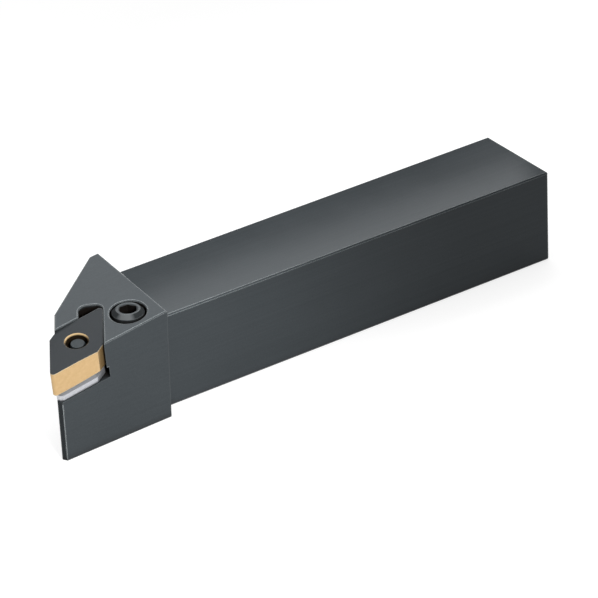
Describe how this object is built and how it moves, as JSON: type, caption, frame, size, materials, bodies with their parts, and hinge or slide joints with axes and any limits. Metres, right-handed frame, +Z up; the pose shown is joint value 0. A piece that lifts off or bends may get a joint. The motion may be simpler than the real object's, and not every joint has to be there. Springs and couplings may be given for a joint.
{
  "type": "turning tool holder",
  "caption": "External right-hand turning tool holder: square shank and angled head with a tilted rhombic insert, held on its shim by a lever through the bore and an upright screw.",
  "frame": {"origin": "middle of the straight shank's underside", "axes": "+X along the shank from the head to the rear end, +Y to the straight far side, +Z up; the cutting point is at x -91.5, y -19.5, z 25 mm"},
  "size_m": [0.15, 0.032, 0.032],
  "materials": {
    "holder_steel": "dark, finely ground and oiled",
    "coated_carbide": "gold flanks, dark grey faces",
    "bare_carbide": "fine ground",
    "spring_steel": "rolled",
    "lever_steel": "tumbled",
    "screw_steel": "turned"
  },
  "bodies": {
    "holder_body": {"holder": "holder_steel", "insert": "coated_carbide", "shim": "bare_carbide", "shim_pin": "spring_steel"},
    "lever": {"clamp_lever": "lever_steel"},
    "screw": {"lever_screw": "screw_steel"}
  },
  "joints": [
    {"name": "screw_travel", "type": "slide", "parent": "holder_body", "child": "screw", "axis": [0, 0, 1], "range_m": [0, 0.00055]},
    {"name": "lever_tilt", "type": "hinge", "parent": "holder_body", "child": "lever", "pos_m": [-0.07876, -0.01097, 0.01219], "axis": [0.0652, 0.9908, 0.1188], "range_deg": [-2.9, 0]}
  ],
  "couplings": [
    {"joint": "lever_tilt", "follows": "screw_travel", "rad_per_m": -92}
  ]
}
